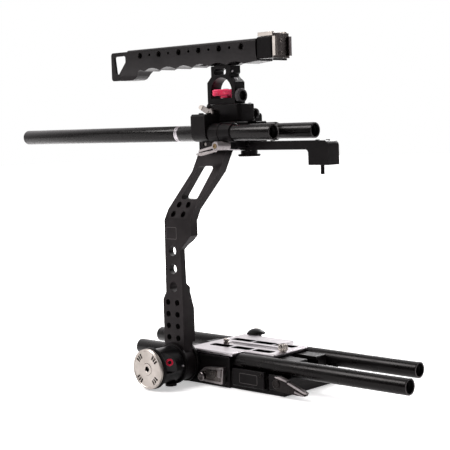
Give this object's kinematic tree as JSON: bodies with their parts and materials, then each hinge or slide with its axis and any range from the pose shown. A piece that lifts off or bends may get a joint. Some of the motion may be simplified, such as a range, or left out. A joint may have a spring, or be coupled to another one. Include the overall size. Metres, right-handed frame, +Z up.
{
  "type": "cinema camera rig",
  "caption": "Camera support rig: rod base with slotted sliding plate and rosette hub, offset side arm, upper rod clamp, handle tower, top handle with shoes, forward bracket",
  "frame": {"origin": "centre of the base's underside, on the surface it stands on", "axes": "+X to the front along the rods, -Y to the side that carries the arm and rosette, +Z up"},
  "size_m": [0.495, 0.1527, 0.3296],
  "materials": {
    "black_anodised": "satin black anodised, fine grain",
    "rod_black": "smooth satin black anodised tube",
    "silver": "bright bead-blasted and brushed silver",
    "steel": "polished stainless with soft scratches",
    "rosette_silver": "turned pale nickel",
    "red_anodised": "crimson anodised"
  },
  "bodies": {
    "rig_frame": {"base_body": "black_anodised", "tripod_bush": "steel", "side_cover": "black_anodised", "cover_screw": "silver", "front_cover": "black_anodised", "hub_flange": "black_anodised", "hub_back_disc": "black_anodised", "hub_ring": "black_anodised", "hub_housing": "black_anodised", "rosette_disc": "rosette_silver", "rosette_insert": "steel", "hub_spindle": "steel", "hub_screw": "black_anodised", "hub_pin": "silver", "side_arm": "black_anodised", "top_clamp_body": "black_anodised", "rod_collar_near": "black_anodised", "rod_collar_far": "black_anodised", "clamp_shim": "silver", "far_clamp_screw": "black_anodised", "arm_bolt_1": "steel", "arm_bolt_2": "steel"},
    "lower_near": {"lower_rod_near": "rod_black"},
    "lower_far": {"lower_rod_far": "rod_black"},
    "plate_carriage": {"camera_plate": "silver"},
    "camera_screw_turn": {"camera_screw": "silver"},
    "locating_stud_turn": {"locating_stud": "silver"},
    "far_knob": {"far_rod_knob": "black_anodised"},
    "plate_lever": {"plate_lock_lever": "steel"},
    "rod_lever": {"rod_lock_lever": "steel"},
    "button": {"release_button": "red_anodised", "button_core": "black_anodised"},
    "upper_near": {"upper_rod_near": "rod_black", "rod_coupler": "silver", "coupler_stud": "steel", "extension_rod": "rod_black"},
    "upper_far": {"upper_rod_far": "rod_black"},
    "upper_lever": {"upper_rod_lever": "steel"},
    "tower_carriage": {"tower_block": "black_anodised", "tower_body": "black_anodised", "tower_head": "black_anodised"},
    "tower_lever": {"tower_lock_lever": "steel"},
    "thumb_screw": {"tower_thumb_screw": "black_anodised"},
    "tower_knob": {"tower_front_knob": "silver"},
    "wheel": {"red_wheel": "red_anodised", "wheel_stud": "black_anodised"},
    "top_handle": {"handle_bar": "black_anodised", "handle_nose": "black_anodised", "nose_bolt_1": "steel", "nose_bolt_2": "steel", "front_shoe": "steel", "top_shoe": "steel", "shoe_stop": "black_anodised"},
    "bracket": {"front_bracket": "black_anodised", "bracket_pin": "black_anodised", "bracket_stop": "black_anodised"},
    "bracket_knob": {"bracket_lock_knob": "black_anodised"}
  },
  "joints": [
    {"name": "lower_near_slide", "type": "slide", "parent": "rig_frame", "child": "lower_near", "axis": [1, 0, 0], "range_m": [-0.04, 0.04]},
    {"name": "lower_far_slide", "type": "slide", "parent": "rig_frame", "child": "lower_far", "axis": [1, 0, 0], "range_m": [-0.04, 0.04]},
    {"name": "plate_slide", "type": "slide", "parent": "rig_frame", "child": "plate_carriage", "axis": [1, 0, 0], "range_m": [-0.015, 0.02]},
    {"name": "camera_screw_turn", "type": "hinge", "parent": "plate_carriage", "child": "camera_screw_turn", "pos_m": [0.0435, -0.008, 0.036], "axis": [0, 0, 1], "continuous": true},
    {"name": "locating_stud_turn", "type": "hinge", "parent": "plate_carriage", "child": "locating_stud_turn", "pos_m": [-0.0285, -0.008, 0.036], "axis": [0, 0, 1], "continuous": true},
    {"name": "far_knob_turn", "type": "hinge", "parent": "rig_frame", "child": "far_knob", "pos_m": [-0.04, 0.049, 0.036], "axis": [0, 0, 1], "continuous": true},
    {"name": "plate_lever_hinge", "type": "hinge", "parent": "rig_frame", "child": "plate_lever", "pos_m": [-0.027, -0.044, 0.008], "axis": [0, -1, 0], "range_deg": [0, 45]},
    {"name": "rod_lever_hinge", "type": "hinge", "parent": "rig_frame", "child": "rod_lever", "pos_m": [0.066, -0.044, 0.0125], "axis": [0, -1, 0], "range_deg": [0, 60]},
    {"name": "button_press", "type": "slide", "parent": "rig_frame", "child": "button", "axis": [-0.7507, 0.6606, 0], "range_m": [0, 0.002], "stiffness_N_per_m": 400},
    {"name": "upper_near_slide", "type": "slide", "parent": "rig_frame", "child": "upper_near", "axis": [1, 0, 0], "range_m": [-0.03, 0.03]},
    {"name": "upper_far_slide", "type": "slide", "parent": "rig_frame", "child": "upper_far", "axis": [1, 0, 0], "range_m": [-0.03, 0.03]},
    {"name": "upper_lever_hinge", "type": "hinge", "parent": "rig_frame", "child": "upper_lever", "pos_m": [-0.002, -0.04, 0.2265], "axis": [0, -1, 0], "range_deg": [0, 60]},
    {"name": "tower_slide", "type": "slide", "parent": "rig_frame", "child": "tower_carriage", "axis": [1, 0, 0], "range_m": [-0.008, 0.008]},
    {"name": "tower_lever_hinge", "type": "hinge", "parent": "tower_carriage", "child": "tower_lever", "pos_m": [-0.0325, -0.014, 0.2575], "axis": [0, 1, 0], "range_deg": [0, 60]},
    {"name": "thumb_screw_turn", "type": "hinge", "parent": "tower_carriage", "child": "thumb_screw", "pos_m": [-0.004, 0.015, 0.256], "axis": [0, 1, 0], "continuous": true},
    {"name": "tower_knob_turn", "type": "hinge", "parent": "tower_carriage", "child": "tower_knob", "pos_m": [-0.006, -0.001, 0.2732], "axis": [1, 0, 0], "continuous": true},
    {"name": "wheel_turn", "type": "hinge", "parent": "tower_carriage", "child": "wheel", "pos_m": [-0.026, 0, 0.276], "axis": [0, 0, 1], "continuous": true},
    {"name": "handle_slide", "type": "slide", "parent": "tower_carriage", "child": "top_handle", "axis": [1, 0, 0], "range_m": [-0.014, 0.014]},
    {"name": "bracket_slide", "type": "slide", "parent": "rig_frame", "child": "bracket", "axis": [1, 0, 0], "range_m": [-0.002, 0.025]},
    {"name": "bracket_knob_turn", "type": "hinge", "parent": "bracket", "child": "bracket_knob", "pos_m": [0.0014, 0, 0.218], "axis": [0, 0, 1], "continuous": true}
  ]
}
